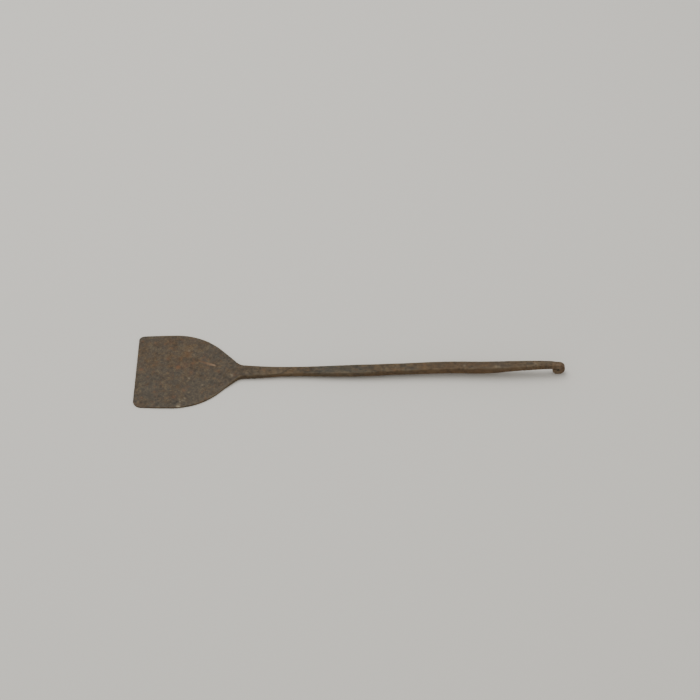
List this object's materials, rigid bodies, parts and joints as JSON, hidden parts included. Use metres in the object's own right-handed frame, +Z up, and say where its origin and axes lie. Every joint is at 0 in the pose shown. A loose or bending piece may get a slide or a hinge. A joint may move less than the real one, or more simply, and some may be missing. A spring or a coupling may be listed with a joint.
{
  "type": "iron spatula",
  "caption": "Hand-forged flat iron spatula: broad square-ended blade with rounded shoulders, flat shank scarf-welded to a long bar handle that ends in a small rolled hanging eye.",
  "frame": {"origin": "bottom centre of the whole object's box, on the surface that it lies on", "axes": "+X from the blade's working edge to the hanging eye, +Z up out of the blade's upper face"},
  "size_m": [0.44, 0.0968, 0.0144],
  "materials": {
    "blade_iron": "matt forge-dark wrought iron with thin brown rust mottling and fine pitting",
    "bar_iron": "matt forge-dark wrought iron, brown and blue-grey, with hammer facets and rounded edges"
  },
  "bodies": {
    "root": {"blade": "blade_iron", "handle": "bar_iron"}
  },
  "joints": []
}
